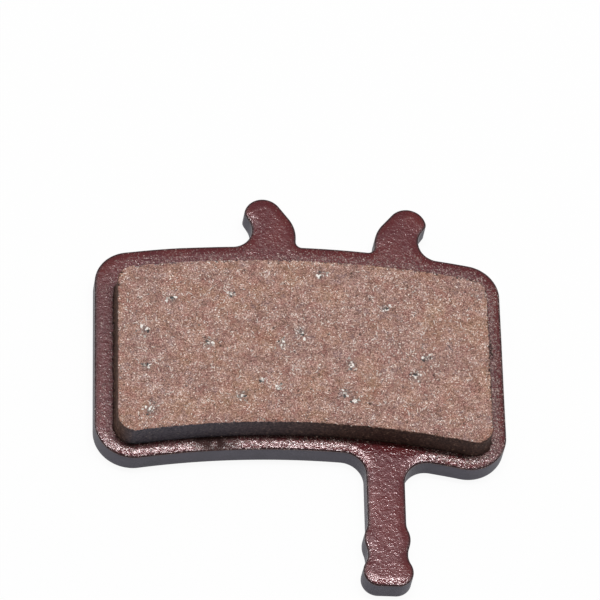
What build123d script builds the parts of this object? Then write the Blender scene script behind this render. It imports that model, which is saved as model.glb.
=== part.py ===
from build123d import *

import os
from math import asin, degrees, hypot, radians, sin, sqrt

# Bicycle disc brake pad: a stamped steel backing plate with two hooked ears and a pull tab,
# and a block of friction compound bonded to its face. Lengths are millimetres, angles degrees.
# The pad lies on its back: Z = 0 is the back of the plate and +Z points at the rotor.
# The origin is the middle of the plate's back, and +Y points away from the wheel's axle.

# Backing plate: a ring sector about the axle, cut to width
plate_width = 32.0
plate_height = 18.15
plate_thickness = 1.9
inner_radius = 68.3
outer_corner_radius = 2.85
inner_corner_radius = 3.0
face_edge_roll = 0.25
back_edge_break = 0.08

# Ears: a mirrored pair of hooks on the outer edge, turned together about the axle
ear_gap = 6.22
ear_turn = 2.0
ear_side_height = 1.8
ear_shoulder_radius = 2.9
ear_root_radius = 0.5
head_radius = 1.55
head_out = 2.62
head_up = 2.62
hook_end_angle = 3.0
hook_slope = 57.5
hook_tip_radius = 0.6
notch_radius = 1.62

# Pull tab: a straight shank below the inner edge, with a scalloped finger grip.
# Heights on the grip are measured up from the end of the tab.
tab_offset = 6.43
tab_width = 3.0
tab_length = 11.45
tab_root_radius = 1.86
grip_height = 5.5
grip_bump_width = 3.59
grip_bump_height = 4.09
grip_waist_width = 3.13
grip_waist_height = 2.71
grip_end_width = 3.89
grip_end_radius = 1.27

# Friction lining: an arched block, set in from the edges of the plate.
# It was bonded a little to the tab's side of the middle line.
lining_thickness = 2.1
lining_side_margin = 1.5
lining_offset = 0.13
lining_outer_margin = 2.5
lining_inner_margin = 1.2
lining_outer_corner_radius = 1.4
lining_inner_corner_radius = 1.4
lining_edge_break = 0.1

# The arcs of plate and lining share one centre, on the wheel's axle
outer_radius = inner_radius + plate_height
axle_y = -(inner_radius + plate_height / 2)
inner_edge_y = -plate_height / 2
arc_tolerance = 1e-4


def corner_at(shape, point):
    """The corner of a flat shape that lies nearest to a point."""
    return shape.vertices().sort_by_distance(point)[0]


def corners_on_arc(shape, radius):
    """The corners of a flat shape that lie on an arc about the axle, from left to right."""

    def lies_on_arc(corner):
        return abs(hypot(corner.X, corner.Y - axle_y) - radius) < arc_tolerance

    return shape.vertices().filter_by(lies_on_arc).sort_by(Axis.X)


def arched_block(width, low_radius, high_radius, low_corner_radius, high_corner_radius):
    """A ring about the axle, cut to a width by two upright sides, with rounded corners."""
    ring = Circle(high_radius) - Circle(low_radius)
    band = Pos(0, high_radius / 2) * Rectangle(width, high_radius)
    block = Pos(0, axle_y) * (ring & band)
    block = fillet(block.vertices().sort_by(Axis.Y)[:2], low_corner_radius)
    return fillet(block.vertices().sort_by(Axis.Y)[-2:], high_corner_radius)


def ear():
    """The right ear, drawn about the axle: a round head that hooks outwards from its neck."""
    inner_x = ear_gap / 2
    # The foot is sunk in the plate, so that ear and plate become one piece
    foot_y = outer_radius - ear_side_height
    shoulder = Vector(inner_x, outer_radius + ear_side_height)
    head = Vector(inner_x + head_out, outer_radius + head_up)
    # The inner side leans from the shoulder until it just touches the head
    to_head = head - shoulder
    lean = degrees(asin(head_radius / to_head.length))
    touch_distance = sqrt(to_head.length**2 - head_radius**2)
    touch = shoulder + to_head.normalized().rotate(Axis.Z, lean) * touch_distance
    crown = head + Vector(0, head_radius)
    tip = head + Vector(head_radius, 0).rotate(Axis.Z, hook_end_angle)
    # Under the hook the neck slopes back in, down to the foot
    slope_length = (tip.Y - foot_y) / sin(radians(hook_slope))
    foot = tip - Vector(slope_length, 0).rotate(Axis.Z, hook_slope)
    outline = [
        Line((inner_x, foot_y), shoulder),
        Line(shoulder, touch),
        ThreePointArc(touch, crown, tip),
        Line(tip, foot),
        Line(foot, (inner_x, foot_y)),
    ]
    blank = make_face(outline)
    blank = fillet(corner_at(blank, shoulder), ear_shoulder_radius)
    return fillet(corner_at(blank, tip), hook_tip_radius)


def ear_pair():
    """Both ears on the outer edge, turned to one side of the plate's middle line."""
    right_ear = ear()
    left_ear = mirror(right_ear, Plane.YZ)
    return Pos(0, axle_y) * Rot(0, 0, -ear_turn) * (Sketch() + [right_ear, left_ear])


def tab():
    """The pull tab, symmetric about its own middle line, with its root sunk in the plate."""
    end_y = inner_edge_y - tab_length
    root_y = inner_edge_y + tab_root_radius
    stations = [
        (tab_width / 2, end_y + grip_height),
        (grip_bump_width / 2, end_y + grip_bump_height),
        (grip_waist_width / 2, end_y + grip_waist_height),
        (grip_end_width / 2, end_y + grip_end_radius),
    ]
    down = (0, -1)
    up = (0, 1)
    right_side = [Line((0, root_y), (tab_width / 2, root_y)), Line((tab_width / 2, root_y), stations[0])]
    for start, end in zip(stations, stations[1:]):
        # From one width to the next run two equal arcs, upright at both ends
        middle = ((start[0] + end[0]) / 2, (start[1] + end[1]) / 2)
        right_side.append(TangentArc(start, middle, tangent=down))
        right_side.append(TangentArc(end, middle, tangent=up))
    corner = (grip_end_width / 2 - grip_end_radius, end_y)
    right_side.append(TangentArc(stations[-1], corner, tangent=down))
    right_side.append(Line(corner, (0, end_y)))
    left_side = [mirror(edge, Plane.YZ) for edge in right_side]
    return Pos(tab_offset, 0) * make_face(right_side + left_side)


def plate_outline():
    """Plan of the stamped blank: the arched plate with its ears, tab and rounded roots."""
    plate = arched_block(plate_width, inner_radius, outer_radius, inner_corner_radius, outer_corner_radius)
    blank = plate + ear_pair() + tab()
    # On the outer arc, between the plate's two rounded corners, stand the ears' four roots
    left_notch, left_inner, right_inner, right_notch = corners_on_arc(blank, outer_radius)[1:-1]
    blank = fillet([left_notch, right_notch], notch_radius)
    inner_roots = [corner_at(blank, Vector(root.X, root.Y)) for root in (left_inner, right_inner)]
    blank = fillet(inner_roots, ear_root_radius)
    tab_roots = corners_on_arc(blank, inner_radius)[1:-1]
    return fillet(tab_roots, tab_root_radius)


def backing_plate():
    """The stamped blank: the edge of its face is rolled over, the edge of its back is broken."""
    plate = extrude(plate_outline(), plate_thickness)
    plate = fillet(plate.faces().sort_by(Axis.Z)[-1].edges(), face_edge_roll)
    return chamfer(plate.faces().sort_by(Axis.Z)[0].edges(), back_edge_break)


def friction_lining():
    """The friction block on the face of the plate, with the edge of its ground face broken."""
    outline = arched_block(
        plate_width - 2 * lining_side_margin,
        inner_radius + lining_inner_margin,
        outer_radius - lining_outer_margin,
        lining_inner_corner_radius,
        lining_outer_corner_radius,
    )
    block = Pos(lining_offset, 0, plate_thickness) * extrude(outline, lining_thickness)
    return chamfer(block.faces().sort_by(Axis.Z)[-1].edges(), lining_edge_break)


pieces = {
    "backing_plate": backing_plate(),
    "friction_lining": friction_lining(),
}
os.makedirs("parts", exist_ok=True)
for name, piece in pieces.items():
    export_step(piece, f"parts/{name}.step")
    print(name, round(piece.volume, 1), piece.bounding_box().size)
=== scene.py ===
# %% [markdown]
# # A bicycle disc brake pad
# The pad is two things bonded face to face. A plate is stamped from steel strip and coated, with two hooked
# ears that hang it in the caliper and a tab to pull it out by. On the plate sits a block of friction
# compound, a baked mix of resin, copper and mineral, whose face is ground flat for the rotor. The packed
# CAD model gives the true sizes. It is loaded first and never moved. The pieces made below stand for its
# two solids, with the rounded edges, the grain and the finishes that a stamped and a pressed part have.

import math

import bpy
import numpy as np
from mathutils import Matrix, Vector
from mathutils.geometry import delaunay_2d_cdt


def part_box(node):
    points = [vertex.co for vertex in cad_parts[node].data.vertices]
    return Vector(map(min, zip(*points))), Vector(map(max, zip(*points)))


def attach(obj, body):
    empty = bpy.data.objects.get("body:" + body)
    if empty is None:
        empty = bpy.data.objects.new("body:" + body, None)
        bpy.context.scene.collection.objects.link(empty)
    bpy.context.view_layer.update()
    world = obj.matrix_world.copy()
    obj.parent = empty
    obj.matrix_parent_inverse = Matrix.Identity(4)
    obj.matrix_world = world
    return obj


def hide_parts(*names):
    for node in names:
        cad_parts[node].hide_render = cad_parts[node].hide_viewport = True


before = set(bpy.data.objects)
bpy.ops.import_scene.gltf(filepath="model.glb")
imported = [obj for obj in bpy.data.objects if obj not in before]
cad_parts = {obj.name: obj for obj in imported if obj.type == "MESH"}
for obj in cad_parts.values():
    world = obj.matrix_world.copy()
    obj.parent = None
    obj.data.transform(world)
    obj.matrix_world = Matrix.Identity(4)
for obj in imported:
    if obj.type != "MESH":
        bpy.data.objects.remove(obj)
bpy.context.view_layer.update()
print("CAD nodes:", sorted(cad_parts))

# %% [markdown]
# ## Sizes
# Every length here is in millimetres, as on a workshop drawing, and turns into metres only when a mesh is
# made. Widths, heights and thicknesses come from the boxes of the two CAD nodes. The radii of arcs and
# corners can't be read from a box, so they are written down, as they are on the drawing. The lining has a
# middle line of its own, because it was bonded a little to the tab's side.

# %% Overall sizes
MM = 0.001
plate_low, plate_high = (np.array(corner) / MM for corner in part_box("backing_plate"))
lining_low, lining_high = (np.array(corner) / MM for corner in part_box("friction_lining"))

plate_half_width = plate_high[0]
plate_thickness = plate_high[2]
plate_height = 18.15
inner_radius = 68.3
outer_radius = inner_radius + plate_height
axle_y = -(inner_radius + plate_height / 2)
tab_end_y = plate_low[1]

lining_half_width = (lining_high[0] - lining_low[0]) / 2
lining_x = (lining_high[0] + lining_low[0]) / 2
lining_top = lining_high[2]
lining_corner, lining_inner_margin = 1.4, 1.2
lining_outer_radius = lining_high[1] - axle_y
lining_inner_radius = inner_radius + lining_inner_margin
print("plate", np.round(plate_high - plate_low, 2), "lining", np.round(lining_high - lining_low, 2))

# %% [markdown]
# ## An outline of arcs
# A stamped outline is made of arcs that run smoothly into straight sides. So a list of arcs is enough to
# draw it: each has a centre, a radius and two angles, and a straight side is what joins one arc's end to
# the next arc's start. A polygon with many corners would do the same, but nobody could read or change it.
# Mirroring or turning a shape then only means mirroring or turning its arcs.

# %% Helpers for arcs
START, END = 3, 4


def angle_of(x, y):
    """The direction of a vector, in degrees from +X."""
    return math.degrees(math.atan2(y, x))


def heading(degrees):
    """The unit vector that points in a direction."""
    return np.array([math.cos(math.radians(degrees)), math.sin(math.radians(degrees))])


def arc_point(arc, which):
    """Where an arc starts or ends: its centre plus its radius in that direction. An arc is a row of five
    numbers: its centre's x and y, its radius, and the angles of its start and its end."""
    return arc[:2] + arc[2] * heading(arc[which])


def mirrored(arcs, x=0.0):
    """The arcs seen in a mirror at x, in reverse order, so that the walk goes the same way round."""
    flipped = arcs[::-1].copy()
    flipped[:, 0] = 2 * x - flipped[:, 0]
    flipped[:, START:] = 180 - flipped[:, [END, START]]
    return flipped


def rail(before, after):
    """The arc about the wheel's axle that joins the end of one arc to the start of another."""
    start, end = arc_point(before, END) - [0, axle_y], arc_point(after, START) - [0, axle_y]
    return np.array([0, axle_y, np.hypot(*start), angle_of(*start), angle_of(*end)])


def joined(features):
    """All arcs of a closed outline: its features in order, with a rail about the axle after each."""
    arcs = []
    for before, after in zip(features, features[1:] + features[:1]):
        arcs += [before, rail(before[-1], after[0])]
    return np.vstack(arcs)


def traced(arcs, samples=65):
    """Close-set points along the arcs in order: centre + radius * (cos, sin) of each angle."""
    share = np.linspace(0, 1, samples)
    centre_x, centre_y, radius, start, end = arcs.T[:, :, None]
    angle = np.radians(start + (end - start) * share)
    x = centre_x + radius * np.cos(angle)
    y = centre_y + radius * np.sin(angle)
    return np.column_stack([x.ravel(), y.ravel()])


def evenly_spaced(line, step):
    """Points on a line of points, about a step apart, found by dividing its length into equal parts."""
    length = np.concatenate([[0], np.cumsum(np.hypot(*np.diff(line, axis=0).T))])
    at = np.linspace(0, length[-1], round(length[-1] / step) + 1)
    return np.column_stack([np.interp(at, length, line[:, 0]), np.interp(at, length, line[:, 1])])


def closed_walk(arcs, step):
    """Evenly spaced points once round a closed outline, without repeating the first."""
    loop = traced(arcs)
    return evenly_spaced(np.vstack([loop, loop[:1]]), step)[:-1]


# %% [markdown]
# ## The outline of the plate
# Plate and lining are both sectors of a ring about the wheel's axle, because that is the path of the rotor.
# Each is cut to width by two upright sides, and its four corners are rounded. The ears are a mirrored pair,
# turned a little about the axle. The tab has a waist and two swellings, so that it doesn't slip from the
# fingers. The outline could be traced by hand as one curve, but then no size could be read back from it.

# %% Rounded corners
inner_corner_radius, outer_corner_radius = 3.0, 2.85


def right_corners(half_width, low_radius, high_radius, low_corner, high_corner):
    """The two rounded corners on the right side of an arched block, the low one first. A corner's centre
    lies its own radius in from the side and its own radius in from the arc about the axle."""
    low_x, high_x = half_width - low_corner, half_width - high_corner
    low_y = math.sqrt((low_radius + low_corner) ** 2 - low_x**2)
    high_y = math.sqrt((high_radius - high_corner) ** 2 - high_x**2)
    return np.array([
        [low_x, axle_y + low_y, low_corner, angle_of(-low_x, -low_y), 0],
        [high_x, axle_y + high_y, high_corner, 0, angle_of(high_x, high_y)],
    ])


plate_corners = right_corners(
    plate_half_width, inner_radius, outer_radius, inner_corner_radius, outer_corner_radius
)
print("right corners turn about", np.round(plate_corners[:, :2], 2).tolist())

# %% The ears
ear_gap, ear_turn, ear_side_height = 6.22, 2.0, 1.8
ear_shoulder_radius, ear_root_radius, notch_radius = 2.9, 0.5, 1.62
head_radius, head_out, head_up = 1.55, 2.62, 2.62
hook_end_angle, hook_slope, hook_tip_radius = 3.0, 57.5, 0.6


def point_at_distance(point, direction, centre, distance):
    """The far point on a line at a distance from a centre, from the quadratic for a line and a circle."""
    offset = point - centre
    along = offset @ direction
    return point + direction * (math.sqrt(along**2 - offset @ offset + distance**2) - along)


def ear_arcs():
    """The right ear about an axle at (0, 0), walked from its outer notch over its head to its inner root.
    Notch, tip, head, shoulder and root are five arcs, each tangent to its neighbours."""
    inner_side = ear_gap / 2
    head = np.array([inner_side + head_out, outer_radius + head_up])
    shoulder = np.array([inner_side, outer_radius + ear_side_height])
    to_head = head - shoulder
    lean = angle_of(*to_head) + math.degrees(math.asin(head_radius / np.hypot(*to_head)))
    slope, inwards = heading(hook_slope), heading(hook_slope + 90)
    hook_end = head + head_radius * heading(hook_end_angle)
    tip_line, notch_line = hook_end + hook_tip_radius * inwards, hook_end - notch_radius * inwards
    tip = point_at_distance(tip_line, slope, head, head_radius - hook_tip_radius)
    notch = point_at_distance(notch_line, slope, np.zeros(2), outer_radius + notch_radius)
    bend_height = ear_shoulder_radius * (1 - math.sin(math.radians(lean))) / math.cos(math.radians(lean))
    bend = shoulder + bend_height * heading(lean) + ear_shoulder_radius * heading(lean - 90)
    root_x = inner_side - ear_root_radius
    root = np.array([root_x, math.sqrt((outer_radius + ear_root_radius) ** 2 - root_x**2)])
    return np.array([
        [*notch, notch_radius, angle_of(*-notch) + 360, hook_slope + 90],
        [*tip, hook_tip_radius, hook_slope - 90, angle_of(*(tip - head))],
        [*head, head_radius, angle_of(*(tip - head)), lean + 90],
        [*bend, ear_shoulder_radius, lean + 90, 180],
        [*root, ear_root_radius, 0, angle_of(*-root)],
    ])


def on_the_plate(arcs):
    """Ear arcs turned about the axle, and moved to where the axle is."""
    turned = arcs.copy()
    right, up = heading(-ear_turn), heading(90 - ear_turn)
    turned[:, :2] = arcs[:, 0:1] * right + arcs[:, 1:2] * up + [0, axle_y]
    turned[:, START:] -= ear_turn
    return turned


right_ear = on_the_plate(ear_arcs())
left_ear = on_the_plate(mirrored(ear_arcs()))
print("ears of", len(right_ear), "arcs each")

# %% The pull tab
# Stations of the grip: half its width, and the height above the end of the tab
tab_offset, tab_half_width, tab_root_radius = 6.43, 1.5, 1.86
grip_stations = [(1.945, 1.27), (1.565, 2.71), (1.795, 4.09), (tab_half_width, 5.5)]


def tab_arcs():
    """The tab, walked from its left root round its end to its right root. Two equal arcs, upright at both
    ends, lead from each station to the next."""
    end_half, end_radius = grip_stations[0]
    side = [[end_half - end_radius, end_radius, end_radius, -90, 0]]
    for (x0, y0), (x1, y1) in zip(grip_stations, grip_stations[1:]):
        out, up = abs(x1 - x0), y1 - y0
        radius = (out**2 + up**2) / (4 * out)
        turn = angle_of(radius - out / 2, up / 2)
        if x1 < x0:
            side += [[x0 - radius, y0, radius, 0, turn], [x1 + radius, y1, radius, 180 + turn, 180]]
        else:
            side += [[x0 + radius, y0, radius, 180, 180 - turn], [x1 - radius, y1, radius, -turn, 0]]
    side = np.array(side) + [tab_offset, tab_end_y, 0, 0, 0]
    reach = tab_half_width + tab_root_radius
    left_x, right_x = tab_offset - reach, tab_offset + reach
    left_y, right_y = (math.sqrt((inner_radius - tab_root_radius) ** 2 - x**2) for x in (left_x, right_x))
    left_root = [left_x, axle_y + left_y, tab_root_radius, angle_of(left_x, left_y), 0]
    right_root = [right_x, axle_y + right_y, tab_root_radius, 180, angle_of(right_x, right_y)]
    return np.vstack([left_root, mirrored(side, tab_offset), side, right_root])


plate_step = 0.08
plate_arcs = joined([tab_arcs(), plate_corners, right_ear, left_ear, mirrored(plate_corners)])
plate_outline = closed_walk(plate_arcs, plate_step)
print("plate outline:", len(plate_arcs), "arcs,", len(plate_outline), "points")
print("outline box", np.round(plate_outline.min(0), 3), np.round(plate_outline.max(0), 3))

# %% [markdown]
# ## From outline to surface
# When a punch cuts a plate, it first drags the edge of the face down into a soft slope and then shears a
# flat wall. That slope is what catches the light, so it is worth modelling. A section of the edge is
# carried along the outline: each point of the section has an inset from the outline and a height. The flat
# faces inside the last ring are filled with a grid of points and joined into triangles by a Delaunay
# triangulation, which makes no slivers. A boolean or a bevel modifier could round the edge too, but not
# with a slope of our own choosing.

# %% Helpers for surfaces
def normals_of(outline):
    """Outward normals of a closed outline walked anticlockwise: the direction along it, turned right."""
    along = np.roll(outline, -1, axis=0) - np.roll(outline, 1, axis=0)
    along /= np.linalg.norm(along, axis=1, keepdims=True)
    return np.column_stack([along[:, 1], -along[:, 0]])


def carried(outline, section):
    """A section carried along an outline, as rings: outline - inset * normal, at the section's height."""
    inset, height = section[:, 0, None, None], section[:, 1]
    flat = outline[None] - inset * normals_of(outline)[None]
    return np.dstack([flat, np.broadcast_to(height[:, None], flat.shape[:2])])


def ring_quads(ids):
    """Quads between neighbouring rings of point numbers, which look to the right of the walk."""
    after = np.roll(ids, -1, axis=1)
    return np.stack([ids[:-1], ids[1:], after[1:], after[:-1]], axis=-1).reshape(-1, 4)


def hexagon_grid(low, high, step):
    """Points of a grid of equal triangles over a rectangle: rows are step * sin 60 apart, and every other
    row is shifted by half a step."""
    rows = np.arange(low[1], high[1], step * math.sin(math.radians(60)))
    columns = np.arange(low[0], high[0], step)
    x = columns[None] + (np.arange(len(rows)) % 2)[:, None] * step / 2
    return np.column_stack([x.ravel(), np.repeat(rows, len(columns))])


def inside(points, loop):
    """True for points within a closed loop: a ray to their right crosses it an odd number of times."""
    x0, y0 = loop.T
    x1, y1 = np.roll(loop, -1, axis=0).T
    x, y = points[:, 0:1], points[:, 1:2]
    spans = (y0 > y) != (y1 > y)
    crossing = x0 + (y - y0) * (x1 - x0) / np.where(y1 == y0, 1, y1 - y0)
    return (spans & (x < crossing)).sum(axis=1) % 2 == 1


def filled(loop, points, inside_only=1, tolerance=1e-6):
    """Triangles that fill a closed loop and use these points inside it. Indices count the loop first."""
    corners = np.vstack([loop, points])
    ring = np.arange(len(loop))
    edges = np.column_stack([ring, np.roll(ring, -1)]).tolist()
    made = delaunay_2d_cdt([Vector(corner) for corner in corners], edges, [], inside_only, tolerance)
    triangles, origins = made[2], made[3]
    origin = np.array([ids[0] for ids in origins])
    return origin[np.array(triangles)]


def ripples(points, wavelength, seed, count=40):
    """A random rolling surface with no direction: the sum of cosine waves of about one wavelength, with
    seeded headings, lengths and phases, scaled so that its usual height is 1."""
    random = np.random.default_rng(seed)
    turn = random.uniform(0, 2 * np.pi, count)
    wave = 2 * np.pi / (wavelength * random.uniform(0.7, 1.4, count))
    phase = random.uniform(0, 2 * np.pi, count)
    sweep = points[:, 0:1] * (wave * np.cos(turn)) + points[:, 1:2] * (wave * np.sin(turn)) + phase
    return np.cos(sweep).sum(axis=1) * math.sqrt(2 / count)


# %% Helpers for meshes
def new_piece(name, points, quads, triangles):
    """A smooth mesh object from points in millimetres and two arrays of faces, placed in its mesh."""
    mesh = bpy.data.meshes.new(name)
    mesh.vertices.add(len(points))
    mesh.vertices.foreach_set("co", (points * MM).astype(np.float32).ravel())
    corners = np.concatenate([quads.ravel(), triangles.ravel()]).astype(np.int32)
    starts = np.concatenate([np.arange(len(quads)) * 4, len(quads) * 4 + np.arange(len(triangles)) * 3])
    mesh.loops.add(len(corners))
    mesh.loops.foreach_set("vertex_index", corners)
    mesh.polygons.add(len(starts))
    mesh.polygons.foreach_set("loop_start", starts.astype(np.int32))
    mesh.polygons.foreach_set("use_smooth", np.ones(len(starts), bool))
    mesh.update(calc_edges=True)
    changed = mesh.validate()
    made = bpy.data.objects.new(name, mesh)
    bpy.context.scene.collection.objects.link(made)
    print(name, len(points), "points,", len(quads) * 2 + len(triangles), "triangles, mended:", changed)
    return made


def store(piece, **attributes):
    """Stores numbers with the points of a piece, an array for each name, for its material to read."""
    for name, numbers in attributes.items():
        attribute = piece.data.attributes.new(name, "FLOAT", "POINT")
        attribute.data.foreach_set("value", np.asarray(numbers, np.float32))


# %% [markdown]
# ## The stamped plate
# The section starts on the face, sinks over a slope that grows steeper towards the edge, turns over a small
# rim, goes straight down the sheared wall and turns under the back with a small round. The coat on the
# faces has run into shallow waves while it was baked. The broad waves are geometry, and the finest ones are
# left to the material, because a mesh fine enough for them would be huge.

# %% Section of the plate's edge
slope_width, slope_tilt, steepening = 0.6, 14.5, 0.3
rim_radius, rim_end_tilt = 0.12, 88
wall_taper, back_round = 0.01, 0.08
innermost_inset = 0.56
slope_rings, rim_rings, wall_rings, under_rings = 10, 9, 6, 5

rim_tilt = np.radians(np.linspace(slope_tilt, rim_end_tilt, rim_rings))
rim_out = rim_radius * (np.sin(rim_tilt) - np.sin(rim_tilt[0]))
rim_down = rim_radius * (np.cos(rim_tilt[0]) - np.cos(rim_tilt))
rim_inset = wall_taper + rim_out[-1]


def fallen(inset):
    """How far the face has sunk at an inset. The slope's steepness grows as a power of the share of it
    that lies behind, so the fall grows as that power plus one."""
    share = np.clip(1 - (inset - rim_inset) / slope_width, 0, 1)
    power = 1 + steepening
    return slope_width * np.tan(rim_tilt[0]) * share**power / power


slope_inset = np.linspace(innermost_inset, rim_inset, slope_rings)
slope = np.column_stack([slope_inset, plate_thickness - fallen(slope_inset)])
rim = np.column_stack([rim_inset - rim_out, slope[-1, 1] - rim_down])[1:]
wall_top = rim[-1, 1]
down = np.linspace(0, 1, wall_rings)[1:-1]
wall = np.column_stack([wall_taper * (1 - down), wall_top + (back_round - wall_top) * down])
under = np.radians(np.linspace(0, 90, under_rings))
turn_under = np.column_stack([back_round * (1 - np.cos(under)), back_round * (1 - np.sin(under))])
plate_section = np.vstack([slope, rim, wall, turn_under])
plate_rings = carried(plate_outline, plate_section)
ring_size = len(plate_outline)
print("the face falls", round(plate_thickness - slope[-1, 1], 3), "to its rim")
print("the sheared wall starts at", round(wall_top, 3))

# %% Points of the two faces
# The margin that can be seen has a close grid, and the part that the lining hides has a coarse one
margin_step, hidden_step, back_step = 0.13, 0.9, 0.28
margin_under_lining, hidden_under_lining = 0.4, 0.9
clear_of_loop = 0.7


def distance_to(points, loop):
    """The distance from each point to the nearest point of a loop."""
    return np.hypot(points[:, 0:1] - loop[:, 0], points[:, 1:2] - loop[:, 1]).min(axis=1)


def beyond_lining(points):
    """Distance beyond the lining's edge, negative under it: a rounded rectangle in x and in radius."""
    x = points[:, 0] - lining_x
    radius = np.hypot(x, points[:, 1] - axle_y)
    middle = (lining_outer_radius + lining_inner_radius) / 2
    half = (lining_outer_radius - lining_inner_radius) / 2
    over_x = np.abs(x) - lining_half_width + lining_corner
    over_y = np.abs(radius - middle) - half + lining_corner
    outside = np.hypot(np.maximum(over_x, 0), np.maximum(over_y, 0))
    return outside + np.minimum(np.maximum(over_x, over_y), 0) - lining_corner


def face_points(loop, step, nearest=-np.inf, farthest=np.inf):
    """Grid points inside a loop, at least most of a step away from it, that lie between two distances
    beyond the lining's edge. Every fourth point of the loop is enough to tell inside from outside."""
    grid = hexagon_grid(loop.min(0), loop.max(0), step)
    beyond = beyond_lining(grid)
    grid = grid[(beyond > nearest) & (beyond < farthest)]
    grid = grid[inside(grid, loop[::4])]
    return grid[distance_to(grid, loop) > clear_of_loop * step]


front_loop, back_loop = plate_rings[0, :, :2], plate_rings[-1, :, :2]
front_points = np.vstack([
    face_points(front_loop, margin_step, nearest=-margin_under_lining),
    face_points(front_loop, hidden_step, farthest=-hidden_under_lining),
])
back_points = face_points(back_loop, back_step)
print("face points", len(front_points), "back points", len(back_points))

# %% Plate object
uneven_wavelength, uneven_share = 6.0, 0.12
peel_wavelength, peel_height = 0.75, 0.0025
highest_wave, back_lift = 1.5, 2

front_inset = innermost_inset + distance_to(front_points, front_loop)
inset = np.concatenate([np.repeat(plate_section[:, 0], ring_size), front_inset])
back_start = len(inset)


def plate_points():
    """The points of the rings, the front and the back, in that order. The slope falls a little more or
    less along the edge, and the waves of the coat are raised on both faces, on the back only upwards."""
    front = np.column_stack([front_points, plate_thickness - fallen(front_inset)])
    back = np.column_stack([back_points, np.zeros(len(back_points))])
    points = np.vstack([plate_rings.reshape(-1, 3), front, back])
    above_wall = np.clip((points[:, 2] - wall_top) / (plate_thickness - wall_top), 0, 1)
    uneven = uneven_share * ripples(points[:back_start, :2], uneven_wavelength, seed=12) * fallen(inset)
    points[:back_start, 2] -= uneven * np.clip(points[:back_start, 2] / wall_top, 0, 1)
    waves = ripples(points[:, :2], peel_wavelength, seed=11)
    points[:, 2] += peel_height * np.minimum(waves, highest_wave) * above_wall
    points[back_start:, 2] += peel_height * np.clip(waves[back_start:] + back_lift, 0, 2 * back_lift)
    return points


def plate_faces():
    """Quads between the rings, and triangles of the two faces, those of the back turned to look down."""
    ids = np.arange(len(plate_section) * ring_size).reshape(-1, ring_size)
    front_ids = np.concatenate([ids[0], ids.size + np.arange(len(front_points))])
    back_ids = np.concatenate([ids[-1], back_start + np.arange(len(back_points))])
    top = front_ids[filled(front_loop, front_points)]
    bottom = back_ids[filled(back_loop, back_points)][:, ::-1]
    return ring_quads(ids), np.vstack([top, bottom])


plate_mesh_points = plate_points()
stamped_plate = new_piece("stamped_plate", plate_mesh_points, *plate_faces())
wall_first = len(slope) + len(rim) - 1
wall_last = wall_first + len(wall) + 1
ring_of_face = np.arange(len(stamped_plate.data.polygons)) // ring_size
sheared = ((ring_of_face >= wall_first) & (ring_of_face < wall_last)).astype(np.int32)
stamped_plate.data.polygons.foreach_set("material_index", sheared)
print("sheared wall faces:", int(sheared.sum()))

# %% [markdown]
# ## Dust, dirt and painted shade on the plate
# Grinding the lining leaves compound dust on the plate, thickest beside the lining and on the right. A
# painted shade darkens the plate along the lining's foot, most on the left, together with dirt from
# handling. A painted shade darkens the coat over the rim. A painter would brush such marks on by hand.
# Here they are numbers from 0 to 1, worked out from each point's place and read by the coat's material.

# %% Marks on the coat
# Painted shade over the rim: where it starts, how wide it spreads and how fast it deepens
rim_shade_inset, rim_shade_width, rim_shade_power = 0.30, 0.2, 1.5
dust_reach, dust_on_the_left, dust_on_the_rim = 2.2, 0.6, 0.4
dirt_reach, patch_size = 0.3, 0.8
# The width over which the painted shade and dirt at the lining's foot give way to dust
left_to_right = 28
# Marks of handling: x, y, their reach both ways, and the dust and the dirt that they add
handled = [
    # a smudge on the front margin
    (-6.7, -8.8, 1.8, 0.75, 1.0, 1.0),
    # the left margin, rubbed dull
    (-15.0, 1.0, 1.2, 7.5, -0.3, 0.25),
    # the root of the tab, wiped clean
    (6.5, -9.4, 3.0, 1.6, -1.0, 0.0),
]


def bell(distance, reach, power=2):
    """A smooth fall from 1 at no distance towards 0: exp(-(distance / reach) ** power)."""
    return np.exp(-((distance / reach) ** power))


def dust_and_dirt(points):
    """Dust, and dirt with painted shade, at each point of the plate: bells of the distance to the lining,
    with more dust and less painted shade at the foot towards the right, and less dust on the rim. Marks of
    handling are flat-topped bells that add dust and dirt."""
    x, y = points[:, 0], points[:, 1]
    front_side = points[:, 2] > wall_top
    beyond = np.maximum(beyond_lining(points[:, :2]), 0)
    share_right = np.clip(0.5 + x / left_to_right, 0, 1)
    patchy = np.clip(0.8 + 0.3 * ripples(points[:, :2], patch_size, seed=14), 0, 1)
    dust = front_side * bell(beyond, dust_reach) * (dust_on_the_left + (1 - dust_on_the_left) * share_right)
    # Painted contact shade at the lining's foot, most on the left, stored together with the dirt
    dirt = front_side * bell(beyond, dirt_reach) * patchy * (1 - share_right)
    dust[:back_start] *= np.clip(inset / innermost_inset, dust_on_the_rim, 1)
    for mark_x, mark_y, reach_x, reach_y, more_dust, more_dirt in handled:
        patch = front_side * bell(np.hypot((x - mark_x) / reach_x, (y - mark_y) / reach_y), 1, power=4)
        dust = np.clip(dust + more_dust * patch, 0, 1)
        dirt = np.clip(dirt + more_dirt * patch * (0.5 + 0.5 * patchy), 0, 1)
    return dust, dirt


# Painted shade over the rim, from 0 on the face to 1 at the edge
rim_shade = np.zeros(len(plate_mesh_points))
rim_shade[:back_start] = np.clip((rim_shade_inset - inset) / rim_shade_width, 0, 1) ** rim_shade_power
dust, dirt = dust_and_dirt(plate_mesh_points)
store(stamped_plate, rim=rim_shade, dust=dust, dirt=dirt)
print("mean dust", round(dust.mean(), 2), "mean dirt", round(dirt.mean(), 2))

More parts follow.
